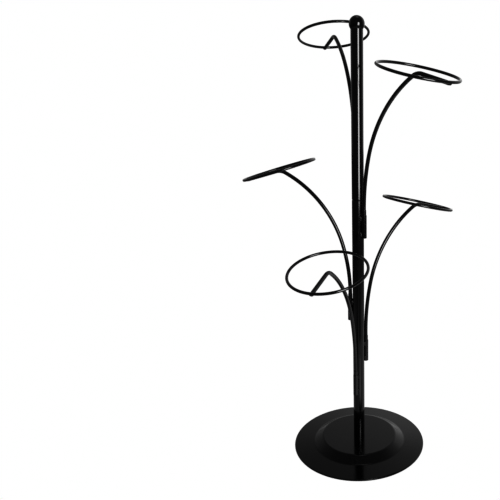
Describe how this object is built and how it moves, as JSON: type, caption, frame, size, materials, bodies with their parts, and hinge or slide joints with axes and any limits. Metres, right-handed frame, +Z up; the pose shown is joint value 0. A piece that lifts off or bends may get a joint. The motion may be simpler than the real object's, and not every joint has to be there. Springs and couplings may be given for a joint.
{
  "type": "hat display stand",
  "caption": "Countertop stand for hats and caps: round pressed base, slim ball-topped post, and curved swivelling arms that end in flat wire rings.",
  "frame": {"origin": "on the post's axis, at the level of the surface the base stands on", "axes": "+Z up along the post, -Y towards the front, where the lowest arm points, +X to the right seen from the front"},
  "size_m": [0.4637, 0.4744, 0.955],
  "materials": {
    "base_black": "gloss",
    "post_black": "gloss",
    "arm_black": "gloss",
    "ball_black": "gloss",
    "zinc": "bright zinc plate"
  },
  "bodies": {
    "stand": {"base_plate": "base_black", "base_screw": "zinc", "base_washer": "zinc", "base_lock_washer": "zinc", "foot_plug": "zinc", "lower_post": "post_black", "lower_plug": "zinc", "post_stud": "zinc", "upper_plug": "zinc", "upper_post": "post_black", "ball_finial": "ball_black", "sleeve_1": "post_black", "sleeve_2": "post_black", "sleeve_3": "post_black", "sleeve_4": "post_black", "sleeve_5": "post_black", "sleeve_welds_1": "post_black", "sleeve_welds_2": "post_black", "sleeve_welds_3": "post_black", "sleeve_welds_4": "post_black", "sleeve_welds_5": "post_black"},
    "hat_arm_1": {"arm_1": "arm_black", "collar_1": "arm_black", "ring_1": "arm_black", "ring_weld_1": "arm_black"},
    "hat_arm_2": {"arm_2": "arm_black", "collar_2": "arm_black", "ring_2": "arm_black", "ring_weld_2": "arm_black"},
    "hat_arm_3": {"arm_3": "arm_black", "collar_3": "arm_black", "ring_3": "arm_black", "ring_weld_3": "arm_black"},
    "hat_arm_4": {"arm_4": "arm_black", "collar_4": "arm_black", "ring_4": "arm_black", "ring_weld_4": "arm_black"},
    "hat_arm_5": {"arm_5": "arm_black", "collar_5": "arm_black", "ring_5": "arm_black", "ring_weld_5": "arm_black"}
  },
  "joints": [
    {"name": "arm_1_swivel", "type": "hinge", "parent": "stand", "child": "hat_arm_1", "pos_m": [-0.00502, 0.01752, 0.593], "axis": [0, 0, 1], "range_deg": [-100, 100]},
    {"name": "arm_2_swivel", "type": "hinge", "parent": "stand", "child": "hat_arm_2", "pos_m": [0.01333, -0.01243, 0.502], "axis": [0, 0, 1], "range_deg": [-100, 80]},
    {"name": "arm_3_swivel", "type": "hinge", "parent": "stand", "child": "hat_arm_3", "pos_m": [-0.01813, 0.00191, 0.3095], "axis": [0, 0, 1], "range_deg": [-65, 100]},
    {"name": "arm_4_swivel", "type": "hinge", "parent": "stand", "child": "hat_arm_4", "pos_m": [0.01624, 0.00828, 0.207], "axis": [0, 0, 1], "range_deg": [-95, 65]},
    {"name": "arm_5_swivel", "type": "hinge", "parent": "stand", "child": "hat_arm_5", "pos_m": [-0.00683, -0.0169, 0.1315], "axis": [0, 0, 1], "range_deg": [-95, 75]}
  ]
}
